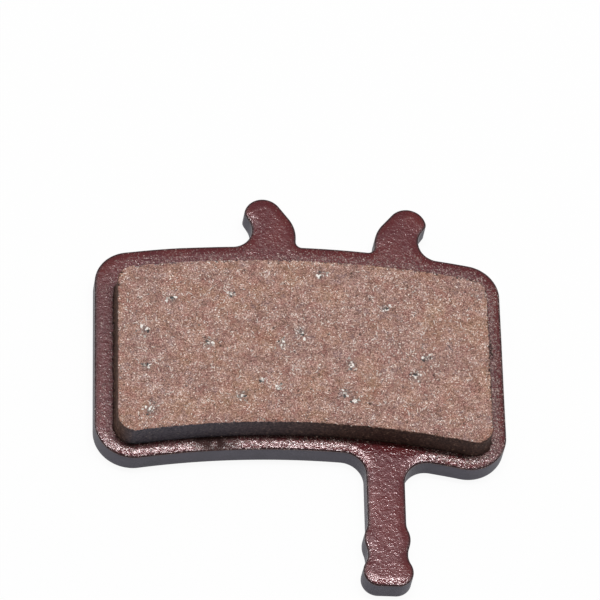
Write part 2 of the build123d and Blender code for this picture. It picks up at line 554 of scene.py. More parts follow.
# %% [markdown]
# ## The friction block
# The compound is pressed into a mould, so its walls have a dark baked skin, and its face is then ground
# flat, which opens the grain. The face is a grid of rows and columns. Each row is an arc about the axle and
# ends on the right-hand edge of the block, so the rows narrow of themselves where the corners are rounded.
# Pits, grain and a crumbled arris are added to the heights of the grid. A Displace modifier could do that
# too, but then the material wouldn't know where the pits are.

# %% Grid of the ground face
lining_step = 0.085
edge_break = 0.10


def face_edge():
    """The right-hand edge of the block's face, from its inner arc up to its outer arc, evenly spaced."""
    corner = lining_corner - edge_break
    low, high = lining_inner_radius + edge_break, lining_outer_radius - edge_break
    corners = right_corners(lining_half_width - edge_break, low, high, corner, corner)
    return evenly_spaced(traced(corners), lining_step)


def ground_face():
    """Row r of the grid is the arc about the axle through edge point r. Column u, from -1 to 1, lies at u
    times the edge's x, and y follows from the arc's radius."""
    edge = face_edge()
    share = np.linspace(-1, 1, round(2 * lining_half_width / lining_step))
    radius = np.hypot(edge[:, 0], edge[:, 1] - axle_y)
    x = edge[:, 0:1] * share[None]
    y = axle_y + np.sqrt(radius[:, None] ** 2 - x**2)
    return np.dstack([lining_x + x, y])


face = ground_face()
face_flat = face.reshape(-1, 2)
row_count, column_count = face.shape[:2]
print("ground face:", row_count, "rows of", column_count)

# %% Pits and grain
# Fibres and grains stand up from the ground face, but not above the top of the CAD block
face_level = lining_top - 0.01
grain_sink, grain_height, pit_depth, crumble_depth = 0.012, 0.007, 0.05, 0.12
pit_count, pit_radius, pit_wider = 150, 0.03, 0.08
pits_from, pits_to = (lining_low[0], -9.0), (lining_high[0], 6.6)
crumble_width, broad_chips, fine_chips = 0.2, 0.7, 0.22
coarse_grain, fine_grain = 0.42, 0.24
stain_width = 1.1
# Crushed stones in the face: x, y and radius
stones_at = [
    (-12.3, -0.2, 0.30), (-7.3, -1.2, 0.36), (1.5, 5.4, 0.32), (6.5, 2.5, 0.26), (9.6, -1.8, 0.30),
    (8.7, -3.4, 0.36), (3.2, -5.2, 0.30), (4.0, -5.8, 0.28), (-11.9, -7.3, 0.38), (-4.9, -5.7, 0.36),
    (-10.2, 2.6, 0.28), (-5.5, 3.3, 0.20), (-12.1, -3.4, 0.24), (3.7, -2.6, 0.32), (-0.2, 0.1, 0.34),
    (-1.6, -1.0, 0.34), (-3.2, -4.3, 0.18), (-1.9, -4.9, 0.18),
]
pit_random = np.random.default_rng(5)


def pitted(points):
    """Depth of the pits at each point, from 0 to 1. Each pit is a round hollow, a flat-topped bell."""
    depth = np.zeros(len(points))
    for _ in range(pit_count):
        centre = pit_random.uniform(pits_from, pits_to)
        radius = pit_radius + pit_wider * pit_random.random() ** 3
        distance = np.hypot(points[:, 0] - centre[0], points[:, 1] - centre[1])
        depth = np.maximum(depth, bell(distance, radius, power=4))
    return depth


def stained(points):
    """How grey the stones make the face, from 0 to 1: a soft bell, a little wider than each stone."""
    stain = np.zeros(len(points))
    for x, y, radius in stones_at:
        distance = np.hypot(points[:, 0] - x, points[:, 1] - y)
        stain = np.maximum(stain, bell(distance, stain_width * radius))
    return stain


def crumbled(points):
    """How much of the arris has broken away, from 0 up: high ripples count, and only near the edge."""
    near = np.clip(1 + (beyond_lining(points) + edge_break) / crumble_width, 0, 1)
    broken = 0.8 * ripples(points, broad_chips, seed=21) + 0.7 * ripples(points, fine_chips, seed=22) - 0.3
    return near * np.clip(broken, 0, 1.2)


pits = pitted(face_flat)
crumbs = crumbled(face_flat)
stains = stained(face_flat)
grain = 0.6 * ripples(face_flat, coarse_grain, seed=31) + 0.5 * ripples(face_flat, fine_grain, seed=32)
face_height = face_level - grain_sink + grain_height * np.clip(grain, -2.5, 1.2)
face_height = face_height - pit_depth * pits - crumble_depth * crumbs
print("face heights from", round(face_height.min(), 3), "to", round(face_height.max(), 3))

# %% Walls of the block
broad_rags, fine_rags = 0.6, 0.25
wall_wavelength, wall_wave, wall_spread = 2.4, 0.012, 0.02
foot_lean, foot_lip, foot_flare, foot_ragged = 0.05, 0.03, 0.17, 0.08


def border_of(grid):
    """The border of a grid of points, walked anticlockwise once round."""
    return np.concatenate([grid[0, :-1], grid[:-1, -1], grid[-1, :0:-1], grid[:0:-1, 0]])


def rings_below(loop, top):
    """Rings of points below the border of the face, each some way out from it and some way down. Two, as
    shares of the edge break, make the ragged arris. Four go down the pressed wall, which is a little
    wavy, and the last flares where resin was squeezed out on the plate, most of all at the sides."""
    outwards = normals_of(loop)
    sideways = np.abs(outwards[:, 0])
    deep = lining_top - lining_low[2]
    ragged = 0.4 * ripples(loop, broad_rags, seed=41) + 0.3 * ripples(loop, fine_rags, seed=42)
    ragged = np.clip(ragged, -0.8, 0.8)
    wavy = wall_wave * ripples(loop, wall_wavelength, seed=43)
    arris = [
        (0.62 - 0.30 * ragged, 0.30 + 0.35 * ragged),
        (1.00 - 0.15 * np.abs(ragged), 0.90 + 0.80 * ragged),
    ]
    sides = [
        (wavy, 0.25),
        (-wavy, 0.50),
        (wall_spread + wavy, 0.78),
        (wall_spread + foot_lean * sideways + wavy, 0.90),
        (foot_lip + (foot_flare + foot_ragged * ragged) * sideways, 1.0),
    ]
    levels = [(edge_break * out, edge_break * share) for out, share in arris]
    levels += [(edge_break + out, deep * share) for out, share in sides]
    return [
        np.column_stack([loop + out[:, None] * outwards, np.minimum(top, lining_top - depth)])
        for out, depth in levels
    ]


face_ids = np.arange(row_count * column_count).reshape(row_count, column_count)
border_ids = border_of(face_ids)
block_rings = rings_below(face_flat[border_ids], face_height[border_ids])
print("wall:", len(block_rings), "rings of", len(border_ids))

# %% Block object
# How much of the ground face shows: less where the arris crumbled, on the border and on the arris itself
crumbled_loss, border_share, arris_share = 0.5, 0.75, 0.45


def build_block():
    """The grid of the ground face, the rings that hang from its border, and triangles that close the
    foot. It stores where the face is ground, pitted and stained by stone."""
    points = np.vstack([np.column_stack([face_flat, face_height]), *block_rings])
    here, right = face_ids[:-1, :-1], face_ids[:-1, 1:]
    above, across = face_ids[1:, :-1], face_ids[1:, 1:]
    top = np.stack([here, right, across, above], axis=-1).reshape(-1, 4)
    hanging = face_ids.size + np.arange(len(block_rings) * len(border_ids))
    ring_ids = np.vstack([border_ids, hanging.reshape(len(block_rings), -1)])
    bottom = ring_ids[-1][filled(block_rings[-1][:, :2], np.zeros((0, 2)))][:, ::-1]
    made = new_piece("friction_block", points, np.vstack([top, ring_quads(ring_ids)]), bottom)
    ground, pit, stone = np.zeros((3, len(points)))
    ground[: face_ids.size] = 1 - crumbled_loss * np.clip(crumbs, 0, 1)
    ground[border_ids] *= border_share
    ground[ring_ids[1]] = arris_share
    pit[: face_ids.size] = pits
    stone[: face_ids.size] = stains
    store(made, ground=ground, pit=pit, stone=stone)
    return made


friction_block = build_block()

# %% [markdown]
# ## Fibres in the compound
# Short chopped fibres hold the compound together. Where the face was ground, they lie in it as pale curved
# flecks, half of them gathered in loose tufts. The finest are left to the material, as pale bits, and the
# ones that can be told apart are modelled. Each is a thin spindle along a bowed line, half sunk in the
# face. A hair system could strew them too, but as rings of points all of them are one array calculation.

# %% Helpers for small bodies
def on_the_face(random, count, margin):
    """Random places on the ground face, at least a margin from its edge, evenly spread over its area."""
    x = random.uniform(-1, 1, count) * (lining_half_width - margin)
    low, high = (lining_inner_radius + margin) ** 2, (lining_outer_radius - margin) ** 2
    radius = np.sqrt(random.uniform(low, high, count))
    return np.column_stack([lining_x + x, axle_y + np.sqrt(radius**2 - x**2)])


def small_bodies(name, rings, poles, tone):
    """One mesh of many small closed bodies. Each has the same rings of points, an array of body x ring x
    point, and two poles that close its ends with fans of triangles. Each carries one tone."""
    count, ring_count, size = rings.shape[:3]
    points = np.concatenate([rings.reshape(count, -1, 3), poles], axis=1)
    ids = np.arange(ring_count * size).reshape(ring_count, size)
    after = np.roll(ids, -1, axis=1)
    fans = np.vstack([
        np.column_stack([np.full(size, ids.size), ids[0], after[0]]),
        np.column_stack([np.full(size, ids.size + 1), after[-1], ids[-1]]),
    ])
    start = (np.arange(count) * points.shape[1])[:, None, None]
    quads = (ring_quads(ids) + start).reshape(-1, 4)
    made = new_piece(name, points.reshape(-1, 3), quads, (fans + start).reshape(-1, 3))
    store(made, tone=np.repeat(tone, points.shape[1]))
    return made


# %% Fibre mesh
fibre_count, fibre_margin, fibre_stations = 3200, 0.35, 7
tuft_count, tuft_margin, tuft_spread, tuft_reach = 130, 1.2, 0.35, 0.8
fibre_length, fibre_longer, fibre_bow = 0.13, 0.36, 0.2
fibre_width, fibre_wider, fibre_rise = 0.014, 0.03, 0.012
fibre_level = face_level - 0.006
fibre_random = np.random.default_rng(8)


def fibre_places():
    """Middles of the fibres: all over the face, with the first half of them then gathered in tufts."""
    centre = on_the_face(fibre_random, fibre_count, fibre_margin)
    tufts = on_the_face(fibre_random, tuft_count, tuft_margin)
    gathered = fibre_count // 2
    centre[:gathered] = tufts[fibre_random.integers(0, tuft_count, gathered)]
    strewn = fibre_random.normal(0, tuft_spread, (gathered, 2))
    centre[:gathered] += np.clip(strewn, -tuft_reach, tuft_reach)
    return centre


def build_fibres():
    """Fibre f at station t lies at centre + length * (t - 1/2) along its heading + bow * (4t(1-t) - 1/2)
    across it. Its half width and height swell as the root of sin(pi t). Every station is a ring of four
    points: left, top, right and bottom. The two ends are the poles."""
    centre = fibre_places()
    turn = fibre_random.uniform(0, np.pi, fibre_count)
    length = fibre_length + fibre_longer * fibre_random.random(fibre_count) ** 2
    bow = length * fibre_random.uniform(-fibre_bow, fibre_bow, fibre_count)
    tone = fibre_random.random(fibre_count)
    width = fibre_width + fibre_wider * tone**3
    along = np.column_stack([np.cos(turn), np.sin(turn)])
    across = np.column_stack([-along[:, 1], along[:, 0]])
    t = np.linspace(0, 1, fibre_stations)
    line = centre[:, None] + (length[:, None] * (t - 0.5))[..., None] * along[:, None]
    line = line + (bow[:, None] * (4 * t * (1 - t) - 0.5))[..., None] * across[:, None]
    middle = line[:, 1:-1]
    swell = np.sqrt(np.sin(np.pi * t[1:-1]))
    half = (width[:, None] * swell)[..., None] * across[:, None]
    rise = np.broadcast_to(fibre_rise * swell, middle.shape[:2])
    sides = ((half, 0 * rise), (0 * half, rise), (-half, 0 * rise), (0 * half, -rise))
    rings = np.stack([np.dstack([middle + out, fibre_level + up]) for out, up in sides], axis=2)
    ends = np.dstack([line[:, [0, -1]], np.full((fibre_count, 2), fibre_level)])
    return small_bodies("chopped_fibres", rings, ends, tone)


chopped_fibres = build_fibres()

# %% [markdown]
# ## Mineral grains and crumbs
# Here and there a crushed stone lies in the compound. Grinding has broken its face into a cluster of
# grains, white and grey, with a nearly black grain among them as a painted shadow between the facets.
# Small stones and single grains lie all over, pale crumbs along the arris, and dark crumbs of compound round
# the foot of the block. Each is a low lump with a wobbly outline, made of rings that shrink to a point above
# and below. The large stones and one spill of crumbs are given, and the rest is scattered. Scaled copies of
# one lump would be simpler, but they would look alike.

# %% Places of grains and crumbs
grains_in_stone, stone_spread = 18, 0.8
small_stone_count, grains_in_small_stone, small_stone_margin, small_stone_spread = 40, 7, 0.6, 0.2
single_grain_count, single_grain_margin = 160, 0.4
edge_crumb_count, edge_crumb_reach = 170, 0.2
grain_size, grain_larger, small_grain_share = 0.022, 0.07, 0.75
# The second large grain of each stone is nearly black: a painted shadow between its pale facets
large_grain_sizes, large_grain_tones_with_shade, tone_sway = (0.08, 0.15), np.array([0.92, 0.05, 0.5, 0.8]), 0.08
foot_crumb_count, foot_crumb_spread = 420, 0.16
spill_at, spill_spread, spill_count, spill_tone = (15.05, 0.15), (0.14, 0.42), 46, 0.6
crumb_size, crumb_larger = 0.02, 0.07
grain_random = np.random.default_rng(13)


def scattered_grains():
    """Places, sizes and tones of the grains in the ground face. Each stone has a few large grains of set
    tones, one of them nearly black as a painted shadow between the pale ones, and many small ones of any
    tone, and crumbs lie along the arris."""
    stones = np.repeat(np.array(stones_at), grains_in_stone, axis=0)
    small = on_the_face(grain_random, small_stone_count, small_stone_margin)
    small = np.repeat(small, grains_in_small_stone, axis=0)
    border = border_of(face)
    at_edge = border[grain_random.integers(0, len(border), edge_crumb_count)]
    inwards = grain_random.uniform(0.0, edge_crumb_reach, edge_crumb_count) / np.hypot(*at_edge.T)
    places = np.vstack([
        stones[:, :2] + grain_random.normal(0, stone_spread, (len(stones), 2)) * stones[:, 2:],
        small + grain_random.normal(0, small_stone_spread, small.shape),
        on_the_face(grain_random, single_grain_count, single_grain_margin),
        at_edge * (1 - inwards[:, None]),
    ])
    sizes = grain_size + grain_larger * grain_random.random(len(places)) ** 2
    sizes[len(stones) :] *= small_grain_share
    tones = grain_random.random(len(places))
    order = np.arange(len(stones)) % grains_in_stone
    large = np.flatnonzero(order < len(large_grain_tones_with_shade))
    sizes[large] = grain_random.uniform(*large_grain_sizes, len(large))
    # The nearly black large grain of each stone is painted shadow
    tones[large] = large_grain_tones_with_shade[order[large]] + grain_random.uniform(-tone_sway, tone_sway, len(large))
    return places, sizes, tones


def scattered_crumbs():
    """Places, sizes and tones of the crumbs that lie round the foot of the block, most of them close to
    it, and of a dark spill on the right-hand margin."""
    border = border_of(face)
    picked = grain_random.integers(0, len(border), foot_crumb_count)
    away = edge_break + np.abs(grain_random.normal(0, foot_crumb_spread, foot_crumb_count))
    beside = border[picked] + away[:, None] * normals_of(border)[picked]
    spilt = spill_at + grain_random.normal(0, 1, (spill_count, 2)) * spill_spread
    places = np.vstack([beside, spilt])
    sizes = crumb_size + crumb_larger * grain_random.random(len(places)) ** 3
    tones = grain_random.random(len(places))
    tones[foot_crumb_count:] *= spill_tone
    return places, sizes, tones


# %% Grain and crumb meshes
# Rings of a grain: a share of its outline, and a height above the level that it lies at
grain_sides = 9
grain_rings = [(0.55, 0.016), (0.86, 0.010), (1.0, -0.01), (0.7, -0.06)]
grain_top, grain_bottom = 0.018, -0.08
grain_level, grain_rise, crumb_rise = face_level - 0.008, 1.0, 3.0
wide_wobble, narrow_wobble = 0.28, 0.18


def build_grains(name, scattered, level, rise):
    """Grain g has radius size * (1 + two seeded waves of the angle). Rings scale that outline and give
    its height, which counts from a level and is multiplied by rise. The poles are top and bottom."""
    centre, size, tone = scattered
    count = len(centre)
    angle = np.linspace(0, 2 * np.pi, grain_sides, endpoint=False)
    phase = grain_random.uniform(0, 2 * np.pi, (count, 2, 1))
    wobble = 1 + wide_wobble * np.cos(2 * angle + phase[:, 0])
    wobble = wobble + narrow_wobble * np.cos(3 * angle + phase[:, 1])
    outline = (size[:, None] * wobble)[..., None] * np.column_stack([np.cos(angle), np.sin(angle)])
    rings = [
        np.dstack([centre[:, None] + share * outline, np.full((count, grain_sides), level + rise * height)])
        for share, height in grain_rings
    ]
    poles = [
        np.column_stack([centre, np.full(count, level + rise * height)])
        for height in (grain_top, grain_bottom)
    ]
    return small_bodies(name, np.stack(rings, axis=1), np.stack(poles, axis=1), tone)


mineral_grains = build_grains("mineral_grains", scattered_grains(), grain_level, grain_rise)
compound_crumbs = build_grains("compound_crumbs", scattered_crumbs(), plate_thickness, crumb_rise)

# %% [markdown]
# ## Tools for materials
# Colours are written as the hex values that a paint program shows, and one function turns them into the
# linear numbers that Blender calculates with. Another adds one node and wires its inputs, which is quicker
# to read than a picture of a large node tree. Patterns read Object coordinates, which are metres, so a
# pattern's scale is one over the size of its features in metres.

# %% Colour and node helpers
def colour(text):
    """A hex colour as linear red, green, blue and alpha, by the sRGB curve."""
    shown = np.array([int(text[i : i + 2], 16) for i in (1, 3, 5)]) / 255
    linear = np.where(shown <= 0.04045, shown / 12.92, ((shown + 0.055) / 1.055) ** 2.4)
    return (*linear.tolist(), 1.0)


def wire(tree, node, links):
    """Gives inputs of a node a plain value, or links them to another node's output. Where a whole node is
    given, its first output in use is taken."""
    for name, value in links.items():
        if isinstance(value, bpy.types.Node):
            value = next(output for output in value.outputs if output.enabled)
        if isinstance(value, bpy.types.NodeSocket):
            tree.links.new(value, node.inputs[name])
        else:
            node.inputs[name].default_value = value


def add(tree, kind, links=None, stops=None, **settings):
    """Adds a node. Settings are its properties, links are wired to its inputs, by name or by number, and
    stops are the positions and colours of a ramp. A Mix node mixes its inputs 6 and 7 by its input 0."""
    made = tree.nodes.new("ShaderNode" + kind)
    for name, value in settings.items():
        setattr(made, name, value)
    wire(tree, made, links or {})
    if stops:
        ramp = made.color_ramp
        while len(ramp.elements) < len(stops):
            ramp.elements.new(0.5)
        for element, (position, text) in zip(ramp.elements, stops):
            element.position, element.color = position, colour(text)
    return made


def new_material(name):
    """An empty material with a Principled shader wired to its output, as (material, tree, shader)."""
    made = bpy.data.materials.new(name)
    made.use_nodes = True
    tree = made.node_tree
    return made, tree, tree.nodes["Principled BSDF"]


def pattern(place, size, **more):
    """The links of a pattern at a place, whose features are this many millimetres across."""
    return {"Vector": place, "Scale": 1 / (size * MM), **more}


# %% [markdown]
# ## Maroon baked coat
# The plate is sprayed with a thick maroon epoxy coat and baked. It is a plain dielectric paint: a deep red
# ground under a clear gloss. While it flows it shrinks into a skin like orange peel, and each little slope
# mirrors the lamp at another angle, which gives the eye its pink glints. So the bumps matter more than the
# colour. Beside the lining, specks of compound dust lie on it and take its gloss. Dirt from handling and a
# painted shade along the lining's foot turn it brown, and a painted shade darkens it over the rim.
# An image could paint the specks too, but a pattern made from numbers stays sharp at any size.

# %% Coat material
coat_tones = [(0.35, "#571f25"), (0.65, "#652626")]
# Painted shade: a near-black maroon over the rim, and a dark brown at the lining's foot that also serves for
# dirt
rim_shade_maroon, seam_dirt = "#2b181b", "#2f1d19"
dust_tones = [(0.1, "#3a2628"), (0.4, "#674c4b"), (0.7, "#8a726b"), (0.92, "#a8928a"), (0.985, "#dccbc3")]
# Real dust is finer: its specks are drawn as large as they need to be to show
dust_speck, dust_patch, dust_veil = 0.075, 0.35, 0.6
coat_cloud, peel_size, peel_depth, grit_size, grit_depth = 2.5, 0.27, 0.034, 0.12, 0.009


def compound_dust(tree, place):
    """Specks of dust on the coat, as their cover from 0 to 1 and their colour. A speck lies where there
    is more dust than the speck's own random number."""
    dust = add(tree, "Attribute", attribute_name="dust").outputs["Fac"]
    powder = add(tree, "TexNoise", pattern(place, dust_patch, Detail=3.0, Roughness=0.7))
    patchy = add(tree, "MapRange", {"Value": powder, "From Min": 0.34, "From Max": 0.64, "To Min": 0.35})
    amount = add(tree, "Math", {0: dust, 1: patchy}, operation="MULTIPLY")
    specks = add(tree, "TexVoronoi", pattern(place, dust_speck))
    speck = add(tree, "SeparateColor", {"Color": specks.outputs["Color"]})
    lies = add(tree, "Math", {0: amount, 1: speck.outputs["Green"]}, operation="SUBTRACT")
    cover = add(tree, "MapRange", {"Value": lies, "From Min": -0.15, "From Max": 0.15})
    return cover, add(tree, "ValToRGB", {"Fac": speck.outputs["Red"]}, dust_tones)


def maroon_coat():
    """Deep red under a clear coat, glossy where it is clean, and rough and dull under dust, dirt and the
    painted shade at the lining's foot. A painted shade darkens it over the rim.
    """
    made, tree, shader = new_material("maroon_baked_coat")
    place = add(tree, "TexCoord").outputs["Object"]
    rim = add(tree, "Attribute", attribute_name="rim").outputs["Fac"]
    dirt = add(tree, "Attribute", attribute_name="dirt").outputs["Fac"]
    cloud = add(tree, "TexNoise", pattern(place, coat_cloud, Detail=3.0))
    tint = add(tree, "ValToRGB", {"Fac": cloud}, coat_tones)
    # Painted shade over the rim
    rim_shaded = add(tree, "Mix", {0: rim, 6: tint, 7: colour(rim_shade_maroon)}, data_type="RGBA")
    cover, flour = compound_dust(tree, place)
    dusty = add(tree, "Mix", {0: cover, 6: rim_shaded, 7: flour}, data_type="RGBA")
    # Dirt from handling, and painted shade at the lining's foot
    dirty = add(tree, "Mix", {0: dirt, 6: dusty, 7: colour(seam_dirt)}, data_type="RGBA")
    veil = add(tree, "Math", {0: cover, 1: dust_veil}, operation="MULTIPLY")
    dull = add(tree, "Math", {0: dirt, 1: veil}, operation="MAXIMUM")
    gloss = add(tree, "MapRange", {"Value": dull, "To Min": 0.7, "To Max": 0.0})
    rough = add(tree, "MapRange", {"Value": dull, "To Min": 0.2, "To Max": 0.75})
    peel = add(tree, "TexNoise", pattern(place, peel_size, Detail=2.0, Distortion=0.6))
    swell = add(tree, "Bump", {"Height": peel, "Distance": peel_depth * MM, "Strength": 1.0})
    grit = add(tree, "TexNoise", pattern(place, grit_size, Detail=0.0))
    fine = add(tree, "Bump", {"Height": grit, "Distance": grit_depth * MM, "Normal": swell})
    wire(tree, shader, {"Base Color": dirty, "Roughness": rough, "Normal": fine})
    wire(tree, shader, {"IOR": 1.58, "Specular IOR Level": 0.37, "Specular Tint": colour("#ffccd0")})
    wire(tree, shader, {"Coat Weight": gloss, "Coat Roughness": 0.06, "Coat Normal": fine})
    return made


baked_coat = maroon_coat()
print(baked_coat.name, len(baked_coat.node_tree.nodes), "nodes")

# %% [markdown]
# ## Phosphated steel
# Before it is coated, the plate is phosphated, which covers bare steel with dull dark grey crystals. The
# coat stops at the rim, so the sheared wall keeps that grey. It looks matt and a little cloudy. It isn't
# made a metal, because the crystals hide the steel: grey paint is closer to what the eye sees.

# %% Wall material
phosphate_tones = [(0.3, "#494551"), (0.7, "#55505d")]
phosphate_cloud, phosphate_depth = 1.8, 0.01


def phosphated_steel():
    """A dull grey that clouds slowly, with a faint bump that follows the clouds."""
    made, tree, shader = new_material("phosphated_steel_wall")
    place = add(tree, "TexCoord").outputs["Object"]
    cloud = add(tree, "TexNoise", pattern(place, phosphate_cloud, Detail=4.0))
    tint = add(tree, "ValToRGB", {"Fac": cloud}, phosphate_tones)
    relief = add(tree, "Bump", {"Height": cloud, "Distance": phosphate_depth * MM, "Strength": 0.5})
    wire(tree, shader, {"Base Color": tint, "Normal": relief, "Roughness": 0.5, "Specular IOR Level": 0.3})
    return made


sheared_steel = phosphated_steel()
print(sheared_steel.name, len(sheared_steel.node_tree.nodes), "nodes")

# %% [markdown]
# ## Friction compound
# The compound is a baked mix, so no two bits have one colour: brown resin, salmon copper, grey mineral,
# dark rubber. Cells of one small size give each bit its own tone, clumps make some places paler, and slow
# clouds and patches shift the whole towards ochre, rose or mauve. A few bits are nearly white or black. The
# walls keep the skin of the mould: a cool grey at the front left, a warm brown at the right, and rusty at
# the left end. The mesh's three attributes say where the face was ground, where it is pitted and where
# stone dust turns it grey.

# %% Tones of the ground face
# The smallest bits are drawn as large as they need to be to show
bit_size, bit_share, fine_size, clump_size, clump_sway = 0.066, 0.44, 0.09, 1.0, 0.25
cloud_size, patch_width, skin_speck = 3.0, 0.7, 0.2
patch_share, wash_share, clump_pull = 0.5, 0.3, 0.6
fine_depth, speck_depth = 0.03, 0.04
bit_tones = [(0.42, "#38231d"), (0.6, "#7e5c55"), (0.73, "#a57d70"), (0.86, "#c0988c"), (1.0, "#efd0c4")]
cloud_tones = [(0.3, "#82696e"), (0.42, "#987370"), (0.5, "#b08070"), (0.58, "#bf8a64"), (0.68, "#caa068")]
patch_tones = [(0.36, "#b55d4e"), (0.46, "#b08072"), (0.55, "#b68a62"), (0.66, "#9c8b94")]
stone_dust, pale_bit, dark_bit, pit_shade = "#716c69", "#fff4ec", "#2f1f1a", "#2c201d"


def ground_tones(tree, place, fine):
    """The colour of the ground face: each bit's tone, washed by clouds and patches, greyed about the
    stones, with single pale and dark bits and dark pits."""
    stone = add(tree, "Attribute", attribute_name="stone").outputs["Fac"]
    pit = add(tree, "Attribute", attribute_name="pit").outputs["Fac"]
    clump = add(tree, "TexNoise", pattern(place, clump_size, Detail=3.0, Roughness=0.65))
    sway = add(tree, "MapRange", {"Value": clump, "To Min": -clump_sway, "To Max": clump_sway})
    base = add(tree, "Math", {0: fine, 1: sway}, operation="ADD")
    bits = add(tree, "TexVoronoi", pattern(place, bit_size))
    bit = add(tree, "SeparateColor", {"Color": bits.outputs["Color"]})
    uneven = add(tree, "Math", {0: bit.outputs["Red"], 1: bit_share, 2: base}, operation="MULTIPLY_ADD")
    grains = add(tree, "ValToRGB", {"Fac": uneven}, bit_tones)
    cloud = add(tree, "TexNoise", pattern(place, cloud_size, Detail=4.0, Roughness=0.6))
    cast = add(tree, "ValToRGB", {"Fac": cloud}, cloud_tones)
    patch = add(tree, "TexNoise", pattern(place, patch_width, Detail=2.0, Roughness=0.6))
    blotch = add(tree, "ValToRGB", {"Fac": patch}, patch_tones)
    wash = add(tree, "Mix", {0: patch_share, 6: cast, 7: blotch}, data_type="RGBA")
    mixed = add(tree, "Mix", {0: wash_share, 6: grains, 7: wash}, data_type="RGBA")
    mottle = add(tree, "MapRange", {"Value": fine, "From Min": 0.3, "From Max": 0.6})
    grey = add(tree, "Math", {0: stone, 1: mottle}, operation="MULTIPLY")
    greyed = add(tree, "Mix", {0: grey, 6: mixed, 7: colour(stone_dust)}, data_type="RGBA")
    gather = add(tree, "Math", {0: sway, 1: clump_pull, 2: bit.outputs["Green"]}, operation="MULTIPLY_ADD")
    pale = add(tree, "MapRange", {"Value": gather, "From Min": 0.955, "From Max": 0.975})
    dark = add(tree, "MapRange", {"Value": bit.outputs["Blue"], "From Min": 0.97, "From Max": 0.985})
    flecked = add(tree, "Mix", {0: pale, 6: greyed, 7: colour(pale_bit)}, data_type="RGBA")
    holed = add(tree, "Mix", {0: dark, 6: flecked, 7: colour(dark_bit)}, data_type="RGBA")
    return add(tree, "Mix", {0: pit, 6: holed, 7: colour(pit_shade)}, data_type="RGBA")


# %% Tones of the moulded walls
cool_skin = [(0.32, "#363137"), (0.5, "#58535c"), (0.62, "#635c62"), (0.74, "#95857c")]
warm_skin = [(0.32, "#2b1b16"), (0.5, "#482f28"), (0.62, "#5c4136"), (0.74, "#a08773")]
rusty_skin = [(0.32, "#3a2620"), (0.5, "#5c4238"), (0.62, "#775a4c"), (0.74, "#b39680")]
# Where along x the skin turns warm, and where rusty
warm_from, warm_to, rust_from, rust_to = -9, 3, -13.0, -14.1


def moulded_skin(tree, place, speck):
    """The colour of the walls: three ramps of one speckle, mixed along the block's length."""
    cool, warm, rusty = (
        add(tree, "ValToRGB", {"Fac": speck}, stops) for stops in (cool_skin, warm_skin, rusty_skin)
    )
    x = add(tree, "SeparateXYZ", {"Vector": place}).outputs["X"]
    right = add(tree, "MapRange", {"Value": x, "From Min": warm_from * MM, "From Max": warm_to * MM})
    left = add(tree, "MapRange", {"Value": x, "From Min": rust_from * MM, "From Max": rust_to * MM})
    front = add(tree, "Mix", {0: right, 6: cool, 7: warm}, data_type="RGBA")
    return add(tree, "Mix", {0: left, 6: front, 7: rusty}, data_type="RGBA")


# %% Compound material
def friction_compound():
    """A matt, rough face of many colours, and walls of dark skin. They meet in a ragged line, because a
    speckle is added to the attribute that says where the face is ground."""
    made, tree, shader = new_material("friction_compound")
    place = add(tree, "TexCoord").outputs["Object"]
    ground = add(tree, "Attribute", attribute_name="ground").outputs["Fac"]
    fine = add(tree, "TexNoise", pattern(place, fine_size, Detail=1.0, Roughness=0.7))
    speck = add(tree, "TexNoise", pattern(place, skin_speck, Detail=3.0, Roughness=0.7))
    ragged = add(tree, "Math", {0: speck, 1: ground}, operation="ADD")
    edge = add(tree, "MapRange", {"Value": ragged, "From Min": 0.9, "From Max": 1.1})
    skin, face_tones = moulded_skin(tree, place, speck), ground_tones(tree, place, fine)
    whole = add(tree, "Mix", {0: edge, 6: skin, 7: face_tones}, data_type="RGBA")
    rough = add(tree, "Bump", {"Height": fine, "Distance": fine_depth * MM, "Strength": 0.7})
    grit = add(tree, "Bump", {"Height": speck, "Distance": speck_depth * MM, "Normal": rough})
    wire(tree, shader, {"Base Color": whole, "Normal": grit, "Roughness": 0.75, "Specular IOR Level": 0.35})
    return made


pressed_compound = friction_compound()
print(pressed_compound.name, len(pressed_compound.node_tree.nodes), "nodes")

# %% [markdown]
# ## Fibre, mineral and crumbs
# The ground ends of the fibres are pale and a little glossy, from brown to almost white. The grains are
# crushed stone, with small facets from white over grey to nearly black; the nearly black grain set in each
# stone is a painted shadow between its pale facets. The crumbs are matt dark compound. Each body has one
# tone from end to end, as it would if it came from one fibre or one grain, so the material only has to
# turn that tone into a colour.

# %% Fibre, grain and crumb materials
fibre_tones = [(0.0, "#5a4039"), (0.2, "#a07a6e"), (0.6, "#bd978a"), (0.8, "#dcb9ac"), (0.88, "#fff0e7")]
# The darkest stop gives the nearly black grain of each stone, a painted shadow between its pale facets
grain_tones = [(0.06, "#211a18"), (0.22, "#6b6461"), (0.42, "#a39c94"), (0.62, "#cfc6be"), (0.85, "#fff8f2")]
crumb_tones = [(0.0, "#1d120f"), (0.5, "#3a2822"), (0.8, "#6d5248"), (0.95, "#c2a698")]


def toned(name, tones, roughness):
    """A material whose colour follows the tone that each fibre, grain or crumb carries."""
    made, tree, shader = new_material(name)
    tone = add(tree, "Attribute", attribute_name="tone").outputs["Fac"]
    tint = add(tree, "ValToRGB", {"Fac": tone}, tones)
    wire(tree, shader, {"Base Color": tint, "Roughness": roughness})
    return made


ground_fibre = toned("ground_fibre", fibre_tones, 0.45)
crushed_mineral = toned("crushed_mineral", grain_tones, 0.4)
compound_crumb = toned("compound_crumb", crumb_tones, 0.8)

